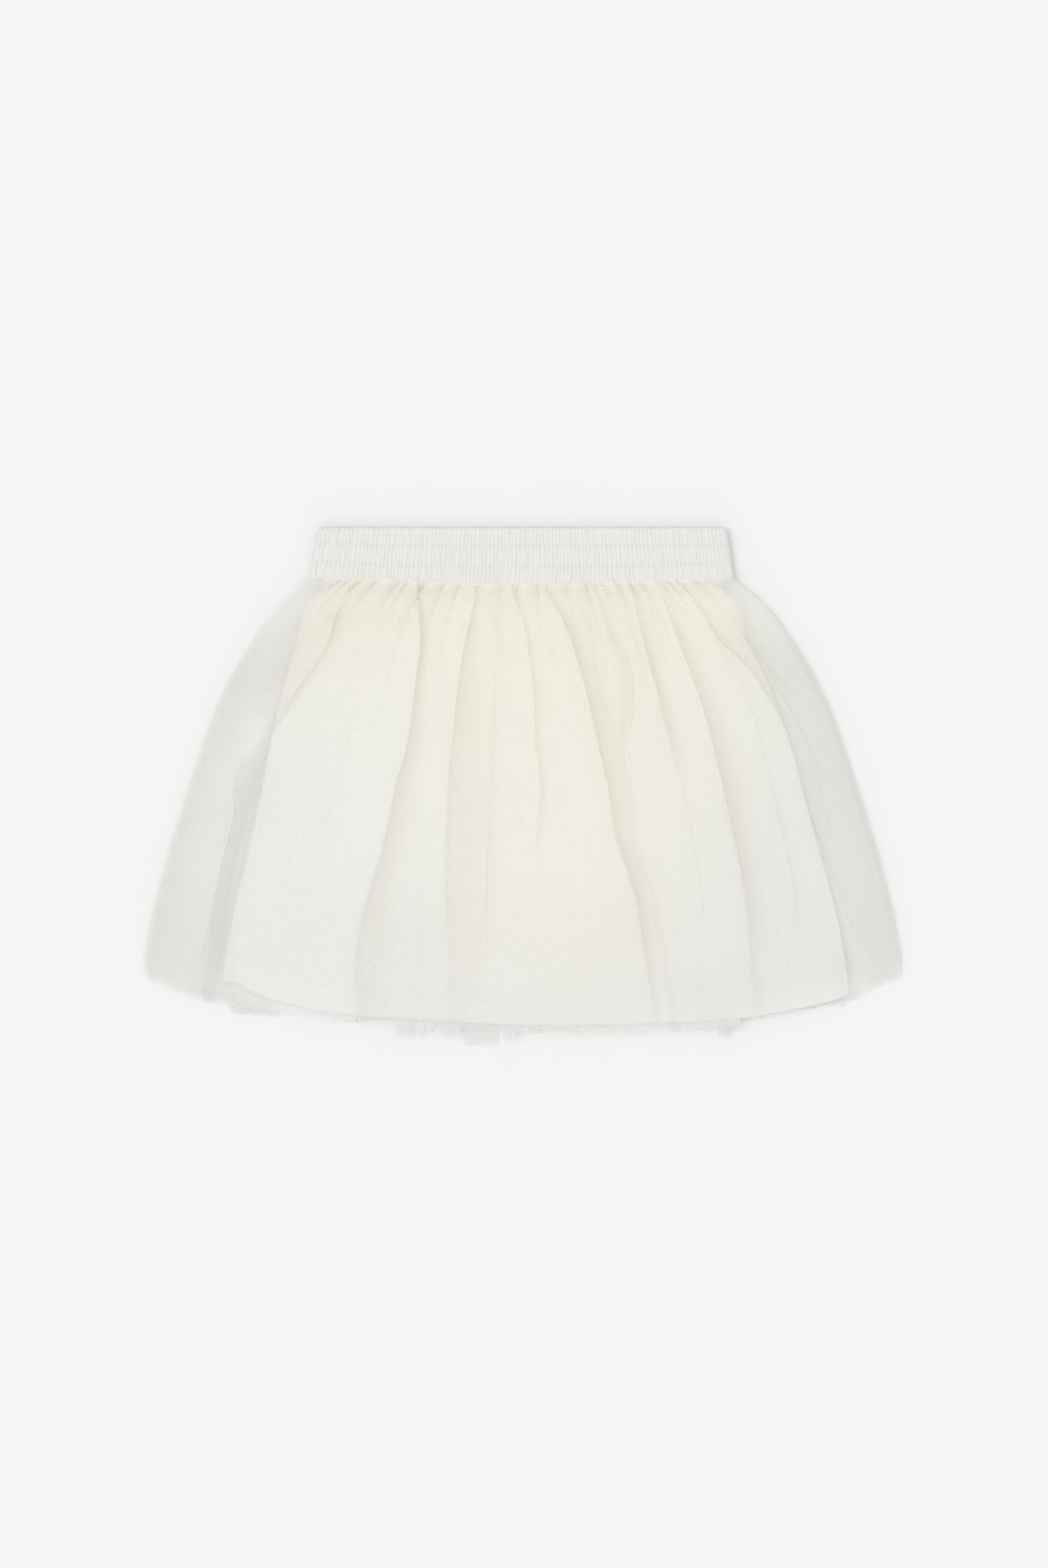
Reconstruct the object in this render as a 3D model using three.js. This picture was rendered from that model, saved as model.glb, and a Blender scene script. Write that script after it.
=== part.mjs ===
import * as THREE from "three";

// A child's gathered tulle skirt, laid flat on its back with the front up. All sizes are in millimetres.
// X runs across the skirt, Y from the hem towards the waist and Z up from the surface that it lies on.
// The origin is under the middle of the skirt. "Down" is measured from the top edge of the waistband.

// Driving sizes
const TOTAL_LENGTH = 305;
const WALL = 1;
const SEAM_GAP = 0.3;
const LAYER_STEP = WALL + SEAM_GAP;
const LAYER_COUNT = 6;
const STACK_HEIGHT = LAYER_COUNT * LAYER_STEP;

// The waistband: three elastic channels in one ruched casing ring, pressed flat
const BAND_HALF_WIDTH_TOP = 120;
const BAND_HALF_WIDTH_FOOT = 124.5;
const CHANNELS = 3;
const CHANNEL_PUFF = 0.7;
const RUCHES = 78;
const RUCHE_HEIGHT = 0.5;
const BAND_WALL = 3;

// The waist seam runs under the band, a little lower in the middle than at the sides. Each sheet's top edge
// starts at the seam, and the band ends a seam room above it, because a sheet's edge tilts towards it.
const SEAM_MIDDLE = 35.2;
const SEAM_RISE = 4.6;
const SEAM_ROOM = 0.5;

// The skirt's side, seen from above: half its width at a distance down
const SKIRT_SIDE = [
  { down: 30.6, half: 124.6 },
  { down: 36, half: 132.6 },
  { down: 49, half: 146 },
  { down: 70, half: 161.5 },
  { down: 100, half: 178 },
  { down: 141, half: 193 },
  { down: 183, half: 206.5 },
  { down: 224, half: 217.5 },
  { down: 252, half: 223 },
];

// The lining's two sides. It lies a little to the right of the tulle.
const LINING_SIDES = [
  { down: 31, left: 113, right: 113 },
  { down: 46, left: 127, right: 127 },
  { down: 63, left: 132, right: 131 },
  { down: 88, left: 139, right: 143 },
  { down: 116, left: 146, right: 154 },
  { down: 176, left: 158, right: 171 },
  { down: 236, left: 172, right: 187 },
  { down: 281, left: 179, right: 194 },
];

// Valleys between the large folds of the front tulle. seam, upper, middle, lower and hem are places across
// the skirt, from -1 at its left side to 1 at its right side, at those five stations. share is how much of
// the loft the valley takes away, width is in the same units as the places, and end is how far down it runs.
const STATION_DOWN = { seam: 36, upper: 75, middle: 135, lower: 200, hem: 295 };
const FOLD_FADE = 60;
const FOLDS = [
  { seam: -0.74, upper: -0.72, middle: -0.86, lower: -0.84, hem: -0.84, width: 0.035, share: 0.5, end: 400 },
  { seam: -0.47, upper: -0.36, middle: -0.35, lower: -0.37, hem: -0.41, width: 0.04, share: 0.55, end: 400 },
  { seam: -0.2, upper: -0.2, middle: -0.21, lower: -0.2, hem: -0.19, width: 0.05, share: 0.45, end: 400 },
  { seam: -0.04, upper: 0.03, middle: 0.05, lower: 0.05, hem: 0.05, width: 0.03, share: 0.3, end: 230 },
  { seam: 0.15, upper: 0.21, middle: 0.28, lower: 0.33, hem: 0.36, width: 0.035, share: 0.55, end: 400 },
  { seam: 0.52, upper: 0.46, middle: 0.5, lower: 0.52, hem: 0.53, width: 0.03, share: 0.4, end: 150 },
  { seam: 0.63, upper: 0.575, middle: 0.61, lower: 0.62, hem: 0.62, width: 0.035, share: 0.5, end: 400 },
  { seam: 0.78, upper: 0.77, middle: 0.85, lower: 0.86, hem: 0.87, width: 0.035, share: 0.4, end: 290 },
];

// How high the front stands above the stack in which it is sewn, as a share of a sheet's loft
const LOFT_SHAPE = [
  { down: 35, share: 0 },
  { down: 48, share: 0.5 },
  { down: 70, share: 0.88 },
  { down: 115, share: 1 },
  { down: 210, share: 0.85 },
  { down: 300, share: 0.5 },
];

// Gathers that the waist seam pushes up. They fade out down the skirt.
const GATHERS = 28;
const GATHER_FADE = 34;
const GATHER_ROUNDNESS = 0.6;

// Each tulle sheet turns down or up at the skirt's sides, from this place on, and meets the other there.
const FOLD_START = 0.95;

// Hems rise towards the sides and round the corners. Hem distances are down, in the middle of the skirt.
const HEM_RISE_SQUARE = 3.4e-4;
const HEM_RISE_FOURTH = 7.5e-9;
const CORNER_RISE = 9;
const TAB_EDGE = 4;

// The six sheets, from the floor up. inset is how far a sheet's side lies inside the outline, fold is the
// width of its side fold, loft and gather are heights, and columns and rows are steps across and down.
const SHEETS = [
  {
    name: "outer_tulle_back", layer: 0, cloth: "tulle", hem: 300, inset: 0, fold: 7, loft: 0, gather: 0,
    columns: 60, rows: 5,
    tabs: [{ x: -158, width: 34, drop: 3.5 }, { x: -110, width: 44, drop: 1.5 }, { x: 186, width: 20, drop: 5 }],
  },
  {
    name: "under_tulle_back", layer: 1, cloth: "tulle", hem: 297, inset: 5.5, fold: 2.5, loft: 0, gather: 0,
    columns: 48, rows: 4,
    tabs: [{ x: -22, width: 28, drop: 8 }],
  },
  {
    name: "lining_back", layer: 2, cloth: "lining", hem: 291, inset: 0, fold: 0, loft: 0, gather: 0,
    columns: 24, rows: 5,
    tabs: [],
  },
  {
    name: "lining_front", layer: 3, cloth: "lining", hem: 291, inset: 0, fold: 0, loft: 3, gather: 0,
    columns: 24, rows: 6,
    tabs: [],
  },
  {
    name: "under_tulle_front", layer: 4, cloth: "tulle", hem: 295, inset: 5.5, fold: 2.5, loft: 8.5, gather: 1.1,
    columns: 3 * GATHERS, rows: 8,
    tabs: [{ x: -67, width: 20, drop: 7.5 }, { x: 117, width: 12, drop: 7 }],
  },
  {
    name: "outer_tulle_front", layer: 5, cloth: "tulle", hem: 298.5, inset: 0, fold: 7, loft: 11.5, gather: 2.6,
    columns: 3 * GATHERS, rows: 8,
    tabs: [{ x: 45, width: 70, drop: 1.5 }, { x: 118, width: 14, drop: 3 }],
  },
];

const FINISHES = {
  waistband: { color: 0xebeae6, roughness: 0.85 },
  tulle: { color: 0xf3f0e2, roughness: 0.8 },
  lining: { color: 0xf1efe9, roughness: 0.9 },
};

// Reads one column of a table at a distance down, on a smooth curve through its rows.
function readAt(rows, column, down) {
  const last = rows.length - 1;
  let i = 0;
  while (i < last - 1 && down > rows[i + 1].down) i += 1;
  const slope = (k) => {
    const before = rows[Math.max(k - 1, 0)];
    const after = rows[Math.min(k + 1, last)];
    return (after[column] - before[column]) / (after.down - before.down);
  };
  const span = rows[i + 1].down - rows[i].down;
  const s = THREE.MathUtils.clamp((down - rows[i].down) / span, 0, 1);
  const rise = s * s * (3 - 2 * s);
  const easeIn = s * (1 - s) * (1 - s) * span * slope(i);
  const easeOut = s * s * (1 - s) * span * slope(i + 1);
  return rows[i][column] * (1 - rise) + rows[i + 1][column] * rise + easeIn - easeOut;
}

const point = (x, down, z) => new THREE.Vector3(x, TOTAL_LENGTH / 2 - down, z);
const seamDown = (x) => SEAM_MIDDLE - SEAM_RISE * (x / BAND_HALF_WIDTH_FOOT) ** 2;

// Where a fold's valley lies across the skirt at a distance down
function foldPlace(fold, down) {
  const stations = Object.keys(STATION_DOWN).map((name) => ({ down: STATION_DOWN[name], place: fold[name] }));
  return readAt(stations, "place", down);
}

// What is left of the loft at a place across the skirt, once the valleys have taken their share
function leftByFolds(place, down) {
  const taken = FOLDS.map((fold) => {
    const held = 1 - THREE.MathUtils.smoothstep(down, fold.end - FOLD_FADE, fold.end);
    const distance = (place - foldPlace(fold, down)) / fold.width;
    return fold.share * held * Math.exp(-distance * distance);
  });
  return 1 - Math.max(...taken);
}

// How far down a sheet's hem lies at an x. corner is 0 on the flat stretch and 1 at the side's very edge.
function hemDown(sheet, x, corner) {
  const sides = HEM_RISE_SQUARE * x ** 2 + HEM_RISE_FOURTH * x ** 4;
  const drops = sheet.tabs.map((tab) => {
    const inside = tab.width / 2 - Math.abs(x - tab.x);
    return tab.drop * THREE.MathUtils.smoothstep(inside, -TAB_EDGE / 2, TAB_EDGE / 2);
  });
  return sheet.hem - sides + Math.max(0, ...drops) - CORNER_RISE * corner * corner;
}

// Half a sheet's width at a distance down, on the side that place lies on
function sheetHalf(sheet, place, down) {
  if (sheet.cloth === "lining") return readAt(LINING_SIDES, place < 0 ? "left" : "right", down);
  return readAt(SKIRT_SIDE, "half", down) - sheet.inset;
}

// A point of the surface in the middle of a sheet's wall. place runs across it from -1 to 1, and along runs
// from 0 at the waist seam to 1 at the hem.
function sheetPoint(sheet, place, along) {
  const foldStart = sheet.fold > 0 ? FOLD_START : 1;
  const flat = Math.min(Math.abs(place) / foldStart, 1);
  const corner = sheet.fold > 0 ? Math.max(0, (Math.abs(place) - foldStart) / (1 - foldStart)) : 0;
  const turn = (corner * Math.PI) / 2;
  const xAt = (half) => Math.sign(place) * (flat * (half - sheet.fold) + sheet.fold * Math.sin(turn));

  const seam = seamDown(xAt(sheetHalf(sheet, place, SEAM_MIDDLE - SEAM_RISE)));
  const hem = hemDown(sheet, xAt(sheetHalf(sheet, place, TOTAL_LENGTH)), corner);
  const down = seam + along * (hem - seam);

  const dome = (1 - flat ** 3) * leftByFolds(place, down);
  const loft = sheet.loft * readAt(LOFT_SHAPE, "share", down) * dome;
  const gatherPhase = ((Math.sign(place) * flat + 1) / 2) * GATHERS;
  const wave = Math.abs(Math.sin(gatherPhase * Math.PI)) ** GATHER_ROUNDNESS;
  const gather = sheet.gather * wave * Math.exp((seam - down) / GATHER_FADE);
  const flatHeight = WALL / 2 + sheet.layer * LAYER_STEP + loft + gather;

  const isFront = sheet.layer >= LAYER_COUNT / 2;
  const edgeHeight = STACK_HEIGHT / 2 + (isFront ? SEAM_GAP / 2 : -SEAM_GAP / 2);
  const height = edgeHeight + (flatHeight - edgeHeight) * Math.cos(turn);
  return point(xAt(sheetHalf(sheet, place, down)), down, height);
}

// The places at which a sheet has columns: even steps over its flat stretch, and a few round each side fold
function placesAcross(sheet) {
  const start = sheet.fold > 0 ? FOLD_START : 1;
  const flat = Array.from({ length: sheet.columns + 1 }, (_, i) => start * ((2 * i) / sheet.columns - 1));
  if (start === 1) return flat;
  const turns = 4;
  const round = Array.from({ length: turns }, (_, i) => start + ((1 - start) * (i + 1)) / turns);
  return [...round.map((place) => -place).reverse(), ...flat, ...round];
}

// The direction in which a sheet's wall is thick, found from the neighbouring points of its middle surface
function sheetNormal(sheet, place, along) {
  const step = 1e-3;
  const left = sheetPoint(sheet, Math.max(place - step, -1), along);
  const right = sheetPoint(sheet, Math.min(place + step, 1), along);
  const above = sheetPoint(sheet, place, Math.max(along - step, 0));
  const below = sheetPoint(sheet, place, Math.min(along + step, 1));
  return right.sub(left).cross(above.sub(below)).normalize();
}

// One sheet of cloth as a closed wall: an upper and a lower net of points, joined all round their edges.
// Its rows stand closer together near the waist, where the gathers are.
function clothSheet(sheet) {
  const rowCrowding = 1.3;
  const places = placesAcross(sheet);
  const vertices = [];
  for (const side of [1, -1]) {
    for (let j = 0; j <= sheet.rows; j += 1) {
      const along = (j / sheet.rows) ** rowCrowding;
      for (const place of places) {
        const normal = sheetNormal(sheet, place, along);
        vertices.push(sheetPoint(sheet, place, along).addScaledVector(normal, (side * WALL) / 2));
      }
    }
  }
  const columns = places.length;
  const lower = columns * (sheet.rows + 1);
  const foot = columns * sheet.rows;
  const faces = [];
  const quad = (a, b, c, d) => faces.push(a, b, c, a, c, d);
  for (let j = 0; j < sheet.rows; j += 1) {
    const left = j * columns;
    const right = left + columns - 1;
    for (let a = left; a < right; a += 1) {
      const b = a + columns;
      quad(a, b, b + 1, a + 1);
      quad(lower + a, lower + a + 1, lower + b + 1, lower + b);
    }
    quad(left, lower + left, lower + left + columns, left + columns);
    quad(right, right + columns, lower + right + columns, lower + right);
  }
  for (let a = 0; a < columns - 1; a += 1) {
    quad(a, a + 1, lower + a + 1, lower + a);
    quad(foot + a, lower + foot + a, lower + foot + a + 1, foot + a + 1);
  }
  return geometryOf(vertices, faces);
}

// The stops round the flattened band, starting at its left end: ruches across the front, which alternate
// between valley and ridge, then the round right end, the plain flat back and the round left end
function bandStops() {
  const stops = [];
  const endSteps = 4;
  const backSteps = 12;
  const quarter = Math.PI / 2;
  const add = (across, angle, ridge) => stops.push({ across, cos: Math.cos(angle), sin: Math.sin(angle), ridge });
  for (let i = 0; i <= 2 * RUCHES; i += 1) add(i / RUCHES - 1, quarter, i % 2);
  for (let i = 1; i < endSteps; i += 1) add(1, quarter - (Math.PI * i) / endSteps, 0);
  for (let i = 0; i <= backSteps; i += 1) add(1 - (2 * i) / backSteps, -quarter, 0);
  for (let i = 1; i < endSteps; i += 1) add(-1, -quarter - (Math.PI * i) / endSteps, 0);
  return stops;
}

// A point of the band at a stop round it. along runs from 0 at its top edge to 1 at its foot.
function bandPoint(stop, along, isOutside) {
  const middleHeight = STACK_HEIGHT / 2;
  const slotHalf = middleHeight - BAND_WALL;
  const end = isOutside ? middleHeight : slotHalf;
  const half = THREE.MathUtils.lerp(BAND_HALF_WIDTH_TOP, BAND_HALF_WIDTH_FOOT, along);
  const x = stop.across * (half - middleHeight) + stop.cos * end;
  const puff = CHANNEL_PUFF * Math.sqrt(Math.abs(Math.sin(along * CHANNELS * Math.PI)));
  const frontDepth = middleHeight - CHANNEL_PUFF - RUCHE_HEIGHT + puff + stop.ridge * RUCHE_HEIGHT;
  const depth = isOutside && stop.sin > 0 ? frontDepth : end;
  return point(x, along * (seamDown(x) - SEAM_ROOM), middleHeight + stop.sin * depth);
}

// The band as a closed ring: rows down its outside, then back up its inside
function waistband() {
  const stops = bandStops();
  const edge = 0.2;
  const channelRows = Array.from({ length: CHANNELS }, (_, i) => [i, i + edge, i + 1 - edge]).flat();
  const outside = [...channelRows, CHANNELS].map((row) => ({ along: row / CHANNELS, isOutside: true }));
  const rows = [...outside, { along: 1, isOutside: false }, { along: 0, isOutside: false }];
  const vertices = rows.flatMap((row) => stops.map((stop) => bandPoint(stop, row.along, row.isOutside)));
  const faces = [];
  rows.forEach((_, j) => {
    const here = j * stops.length;
    const next = ((j + 1) % rows.length) * stops.length;
    stops.forEach((_, i) => {
      const right = (i + 1) % stops.length;
      faces.push(here + i, next + i, next + right, here + i, next + right, here + right);
    });
  });
  return geometryOf(vertices, faces);
}

function geometryOf(vertices, faces) {
  const geometry = new THREE.BufferGeometry().setFromPoints(vertices);
  geometry.setIndex(faces);
  geometry.computeVertexNormals();
  return geometry;
}

function piece(name, geometry, finish) {
  const material = new THREE.MeshStandardMaterial({ ...finish, metalness: 0 });
  const mesh = new THREE.Mesh(geometry, material);
  mesh.name = name;
  return mesh;
}

const skirt = new THREE.Group();
skirt.add(piece("waistband", waistband(), FINISHES.waistband));
for (const sheet of SHEETS) skirt.add(piece(sheet.name, clothSheet(sheet), FINISHES[sheet.cloth]));

export default skirt;
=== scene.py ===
# %% [markdown]
# # A gathered tulle skirt, laid flat
#
# The skirt lies on its back on a pale table, seen from straight above. It has a ruched waistband, two
# layers of sheer net, front and back, and a woven lining that glows through them. The frame below holds
# a plain solid of every piece at its true place. The cells swap each for a thin cloth with its folds.

# %% Load the frame
import math

import bpy
import numpy as np
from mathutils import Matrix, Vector


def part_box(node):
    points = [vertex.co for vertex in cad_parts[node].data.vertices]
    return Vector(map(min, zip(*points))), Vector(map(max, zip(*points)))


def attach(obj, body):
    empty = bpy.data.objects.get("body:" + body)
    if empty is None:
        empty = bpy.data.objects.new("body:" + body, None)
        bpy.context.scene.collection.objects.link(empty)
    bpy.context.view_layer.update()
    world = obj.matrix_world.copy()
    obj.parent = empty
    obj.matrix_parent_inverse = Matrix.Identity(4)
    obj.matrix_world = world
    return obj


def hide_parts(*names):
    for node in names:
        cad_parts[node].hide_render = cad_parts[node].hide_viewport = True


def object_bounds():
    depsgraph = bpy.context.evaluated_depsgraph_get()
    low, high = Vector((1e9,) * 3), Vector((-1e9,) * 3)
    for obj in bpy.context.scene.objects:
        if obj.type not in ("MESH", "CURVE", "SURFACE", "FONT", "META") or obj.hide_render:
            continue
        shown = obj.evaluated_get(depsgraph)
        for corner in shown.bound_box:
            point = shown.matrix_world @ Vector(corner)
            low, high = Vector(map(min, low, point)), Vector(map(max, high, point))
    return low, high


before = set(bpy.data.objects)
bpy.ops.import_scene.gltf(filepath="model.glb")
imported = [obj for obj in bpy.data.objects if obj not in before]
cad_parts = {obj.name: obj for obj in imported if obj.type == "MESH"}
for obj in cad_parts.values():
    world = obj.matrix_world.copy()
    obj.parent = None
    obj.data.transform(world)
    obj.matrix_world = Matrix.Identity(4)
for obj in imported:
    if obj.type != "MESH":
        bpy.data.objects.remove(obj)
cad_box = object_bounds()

MM = 0.001
print("solids:", sorted(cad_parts))

# %% [markdown]
# ## Where things are
#
# All places on the skirt are given in millimetres as x, across it from its middle, and down, the distance
# below the waistband's top edge. A cutter's sheet would use the same two numbers. The heights of the layers
# come from the frame: a wall of the solids is one millimetre thick, and a cloth lies in its middle.

# %% Heights and reach from the frame
WALL = 1.0
TABLE_GAP = 0.2
LAYER_STEP = 1.3
TOP = cad_box[1].y / MM


def level(node):
    """The height, in millimetres, of the middle of a solid's wall where it lies flat."""
    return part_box(node)[0].z / MM + WALL / 2


BAND_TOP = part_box("waistband")[1].z / MM
SEAM_HEIGHT = (BAND_TOP + TABLE_GAP) / 2
LEVEL = {
    "outer_tulle_back": TABLE_GAP,
    "under_tulle_back": level("under_tulle_back"),
    "lining_back": level("lining_back"),
    "lining_front": level("lining_front"),
    "under_tulle_front": level("lining_front") + LAYER_STEP,
    "outer_tulle_front": level("lining_front") + 2 * LAYER_STEP,
}
LOFT = {"outer_tulle_front": 11.5, "under_tulle_front": 8.5, "lining_front": 3.0}
print("top edge at y", round(TOP, 2), "mm; levels", {k: round(v, 2) for k, v in LEVEL.items()})

# %% [markdown]
# ## Curves through a few points
#
# Outlines and folds are drawn as a dressmaker draws them: a few marked points and one smooth curve through
# them. `follow` is that curve. `wobble` is the same thing through random heights, for all that is uneven.

# %% Curve helpers
WOBBLE_REACH = 400


def follow(points, at):
    """A smooth curve through rows of (place, value), read at any places. It stays level past its ends."""
    places, values = np.array(points, float).T
    at = np.clip(at, places[0], places[-1])
    slopes = np.gradient(values, places)
    i = np.clip(np.searchsorted(places, at) - 1, 0, len(places) - 2)
    span = places[i + 1] - places[i]
    s = (at - places[i]) / span
    start = values[i] * (1 + 2 * s) * (1 - s) ** 2 + slopes[i] * span * s * (1 - s) ** 2
    end = values[i + 1] * s * s * (3 - 2 * s) - slopes[i + 1] * span * s * s * (1 - s)
    return start + end


def ease(at, low, high):
    """0 below low, 1 above high and a smooth step between them."""
    s = np.clip((at - low) / (high - low), 0, 1)
    return s * s * (3 - 2 * s)


def wobble(at, spacing, seed):
    """An uneven smooth line between about -1 and 1, with a bend every spacing."""
    rng = np.random.default_rng(seed)
    knots = np.arange(-WOBBLE_REACH, WOBBLE_REACH + spacing, spacing)
    return follow(np.column_stack([knots, rng.uniform(-1, 1, len(knots))]), at)


# %% [markdown]
# ## The camera
#
# The picture is taken straight down, with a long lens from far away so that the skirt's sides stay
# parallel. The frame is 1200 by 1795 parts, and one part is 0.515 mm on the table.

# %% Camera
PART = 0.515
FRAME_HEIGHT = 1795 * PART
LENS = 100.0
SENSOR = 36.0
CAMERA_X = 1.0
CAMERA_Y = 1.6

bpy.ops.object.select_all(action="DESELECT")
bpy.ops.object.camera_add(rotation=(0, 0, 0))
camera = bpy.context.object
camera.name = "overhead_camera"
camera.data.lens = LENS
camera.data.sensor_width = SENSOR
camera.data.sensor_fit = "AUTO"
camera.location = (CAMERA_X * MM, CAMERA_Y * MM, LENS / SENSOR * FRAME_HEIGHT * MM)
camera.data.clip_end = 50
bpy.context.scene.camera = camera
print("camera height", round(camera.location.z, 3), "m")

# %% [markdown]
# ## Table and light
#
# White cloth on a white table is lit very evenly. A white surround does most of the work. One sun with a
# very wide disc, above and a little to the left, stands in for a large softbox: unlike a lamp that is near,
# it lights the whole table alike, and it still gives each fold a lit side and a shaded one. Light has to
# pass many layers of net and bounce between them, so the limits on bounces are raised. The colours stay as
# they are, with the Standard view.

# %% Table and light
SURROUND_STRENGTH = 0.891
SOFTBOX_FROM = Vector((-0.45, 0.1, 1.0))
SOFTBOX_STRENGTH = 0.78
SOFTBOX_WIDTH = math.radians(40)

bpy.ops.object.select_all(action="DESELECT")
bpy.ops.mesh.primitive_plane_add(size=8, location=(0, 0, -0.3 * MM))
table = bpy.context.object
table.name = "table_top"

scene = bpy.context.scene
world = bpy.data.worlds.new("studio") if scene.world is None else scene.world
scene.world = world
world.use_nodes = True
surround = world.node_tree.nodes["Background"]
surround.inputs["Color"].default_value = (1, 1, 1, 1)
surround.inputs["Strength"].default_value = SURROUND_STRENGTH

bpy.ops.object.light_add(type="SUN", location=SOFTBOX_FROM)
softbox = bpy.context.object
softbox.name = "softbox"
softbox.data.energy = SOFTBOX_STRENGTH
softbox.data.angle = SOFTBOX_WIDTH
softbox.rotation_euler = (-SOFTBOX_FROM).to_track_quat("-Z", "Y").to_euler()

scene.view_settings.view_transform = "Standard"
scene.view_settings.look = "None"
scene.cycles.transparent_max_bounces = 32
scene.cycles.diffuse_bounces = 12
scene.cycles.transmission_bounces = 16
scene.cycles.max_bounces = 24
print("surround", SURROUND_STRENGTH, "softbox", SOFTBOX_STRENGTH, "from", tuple(SOFTBOX_FROM))

# %% [markdown]
# ## Building a material
#
# A material is a small graph. `Graph` makes a node, sets its sockets and links what is passed as a link, so
# that a material reads from top to bottom like a recipe. A socket is named with an underscore for each
# space in its name, or with an underscore and its number.

# %% Material helper
class Graph:
    """A new material and short names for the nodes that it takes most."""

    def __init__(self, name):
        self.material = bpy.data.materials.new(name)
        self.material.use_nodes = True
        self.tree = self.material.node_tree
        self.tree.nodes.clear()

    def node(self, kind, settings=None, **sockets):
        made = self.tree.nodes.new(kind)
        for key, value in (settings or {}).items():
            setattr(made, key, value)
        for key, value in sockets.items():
            socket = made.inputs[int(key[1:]) if key[0] == "_" else key.replace("_", " ")]
            if isinstance(value, bpy.types.NodeSocket):
                self.tree.links.new(value, socket)
            else:
                socket.default_value = value
        return made

    def attribute(self, name):
        return self.node("ShaderNodeAttribute", {"attribute_name": name}).outputs["Fac"]

    def math(self, operation, a, b=0.0):
        return self.node("ShaderNodeMath", {"operation": operation}, _0=a, _1=b).outputs[0]

    def blend(self, share, a, b):
        mix = self.node("ShaderNodeMix", {"data_type": "RGBA"}, _0=share, _6=a, _7=b)
        return mix.outputs[2]

    def spread(self, value, low, high, out_low, out_high):
        made = self.node("ShaderNodeMapRange", None, Value=value)
        made.inputs["From Min"].default_value = low
        made.inputs["From Max"].default_value = high
        made.inputs["To Min"].default_value = out_low
        made.inputs["To Max"].default_value = out_high
        return made.outputs[0]

    def finish(self, shader):
        self.node("ShaderNodeOutputMaterial", None, Surface=shader)
        return self.material


# %% [markdown]
# ## Net
#
# Tulle is a net of fine threads round six-sided holes. Up close the threads show, and from a step away
# only their share of the cloth does, its cover. So the shader lets light straight through the holes and
# scatters it on and through the threads. The net's pattern follows the flat cut of the cloth, in its UV
# map, and four painted values come with the mesh: cover, which grows where the cloth is gathered tighter,
# cream, which is how much of its yellow tint shows, a painted shade beside and in the folds, toward the
# sides and at the rims, and a painted grey shade on the net past the lining's hem.

# %% Net material
NET_HOLE = 0.95 * MM
NET_WHITE = (0.957, 0.959, 0.95, 1)
NET_CREAM = (0.976, 0.963, 0.885, 1)
# Colours of painted shade: for white net, for cream net, and a grey one for net past the lining's hem.
NET_PAINTED_SHADE = (0.86, 0.857, 0.838, 1)
NET_CREAM_PAINTED_SHADE = (0.892, 0.852, 0.744, 1)
NET_PAINTED_HEM_SHADE = (0.76, 0.76, 0.765, 1)
MOST_COVER = 0.97
STREAKS = (380.0, 9.0, 1.0)


def net_material(name, glow_share):
    g = Graph(name)
    flat = g.node("ShaderNodeUVMap", {"uv_map": "cut"}).outputs[0]
    holes = g.node("ShaderNodeTexVoronoi", {"feature": "DISTANCE_TO_EDGE", "voronoi_dimensions": "2D"},
                   Vector=flat, Scale=1 / NET_HOLE, Randomness=0.25)
    threads = g.spread(holes.outputs["Distance"], 0.05, 0.3, 1.3, 0.72)
    drawn_out = g.node("ShaderNodeMapping", None, Vector=flat, Scale=STREAKS)
    streaks = g.node("ShaderNodeTexNoise", {"noise_dimensions": "2D"}, Vector=drawn_out.outputs[0],
                     Scale=1.0, Detail=4.0)
    uneven = g.spread(streaks.outputs["Fac"], 0.3, 0.7, 0.995, 1.005)
    cover = g.math("MULTIPLY", g.math("MULTIPLY", g.attribute("cover"), threads), uneven)
    cover = g.math("MINIMUM", cover, MOST_COVER)
    colour = g.blend(g.attribute("cream"), NET_WHITE, NET_CREAM)
    # Painted shade: the net turns darker, and a deeper yellow where it is cream.
    painted_shade_colour = g.blend(g.attribute("cream"), NET_PAINTED_SHADE, NET_CREAM_PAINTED_SHADE)
    colour = g.blend(g.attribute("painted_shade"), colour, painted_shade_colour)
    # Painted grey shade on the net that hangs past the lining's hem and on its tabs.
    colour = g.blend(g.attribute("painted_hem_shade"), colour, NET_PAINTED_HEM_SHADE)
    thread = g.node("ShaderNodeBsdfPrincipled", None, Base_Color=colour, Roughness=1.0)
    thread.inputs["Specular IOR Level"].default_value = 0.0
    glow = g.node("ShaderNodeBsdfTranslucent", None, Color=colour)
    lit = g.node("ShaderNodeMixShader", None, _0=glow_share, _1=thread.outputs[0], _2=glow.outputs[0])
    clear = g.node("ShaderNodeBsdfTransparent")
    seen = g.node("ShaderNodeMixShader", None, _0=cover, _1=clear.outputs[0], _2=lit.outputs[0])
    return g.finish(seen.outputs[0])


net_front = net_material("net_front", 0.3)
net_back = net_material("net_back", 0.15)
print("net holes", NET_HOLE / MM, "mm;", len(net_front.node_tree.nodes), "nodes in its material")
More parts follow.
